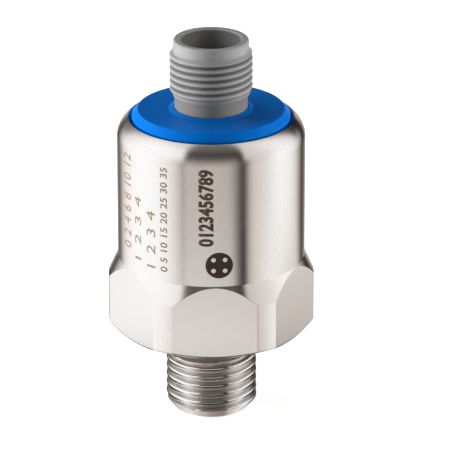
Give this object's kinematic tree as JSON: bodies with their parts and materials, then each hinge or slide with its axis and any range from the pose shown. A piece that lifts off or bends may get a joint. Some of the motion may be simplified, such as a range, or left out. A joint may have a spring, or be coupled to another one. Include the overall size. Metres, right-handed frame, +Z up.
{
  "type": "pressure transmitter",
  "caption": "Compact stainless pressure transmitter with a parallel threaded process stud, turned hexagon, rolled drum housing, cover ring and round plug connector.",
  "frame": {"origin": "centre of the process stud's end face, on which the part stands", "axes": "+Z up the turning axis from the stud to the connector; one flat of the hexagon faces -Y and its opposite faces +Y"},
  "size_m": [0.0296, 0.027, 0.056],
  "materials": {
    "stainless_steel": "fine turned, satin",
    "blue_plastic": "satin moulded",
    "grey_plastic": "satin moulded",
    "black_plastic": "matt moulded",
    "natural_plastic": "matt moulded",
    "gilt_contact": "gilt, polished",
    "ring_brass": "turned",
    "seal_rubber": "matt",
    "white_ceramic": "ground",
    "board_laminate": "lacquered",
    "chip_moulding": "matt moulded",
    "capacitor_moulding": "satin moulded"
  },
  "bodies": {
    "root": {"housing": "stainless_steel", "cover_ring": "blue_plastic", "connector_shell": "grey_plastic", "contact_carrier": "black_plastic", "contact_pin_1": "gilt_contact", "contact_pin_2": "gilt_contact", "contact_pin_3": "gilt_contact", "contact_pin_4": "gilt_contact", "connector_seal": "seal_rubber", "cell_seal": "seal_rubber", "ceramic_cell": "white_ceramic", "retaining_ring": "ring_brass", "spacer_sleeve": "natural_plastic", "connector_board": "board_laminate", "main_board": "board_laminate", "board_header": "black_plastic", "board_socket": "black_plastic", "link_pin_1": "gilt_contact", "link_pin_2": "gilt_contact", "link_pin_3": "gilt_contact", "link_pin_4": "gilt_contact", "sensor_pin_1": "gilt_contact", "sensor_pin_2": "gilt_contact", "sensor_pin_3": "gilt_contact", "sensor_pin_4": "gilt_contact", "signal_chip": "chip_moulding", "driver_chip": "chip_moulding", "surge_diode": "chip_moulding", "filter_capacitor_1": "capacitor_moulding", "filter_capacitor_2": "capacitor_moulding", "chip_resistor_1": "chip_moulding", "chip_resistor_2": "chip_moulding", "chip_resistor_3": "chip_moulding", "chip_resistor_4": "chip_moulding"}
  },
  "joints": []
}
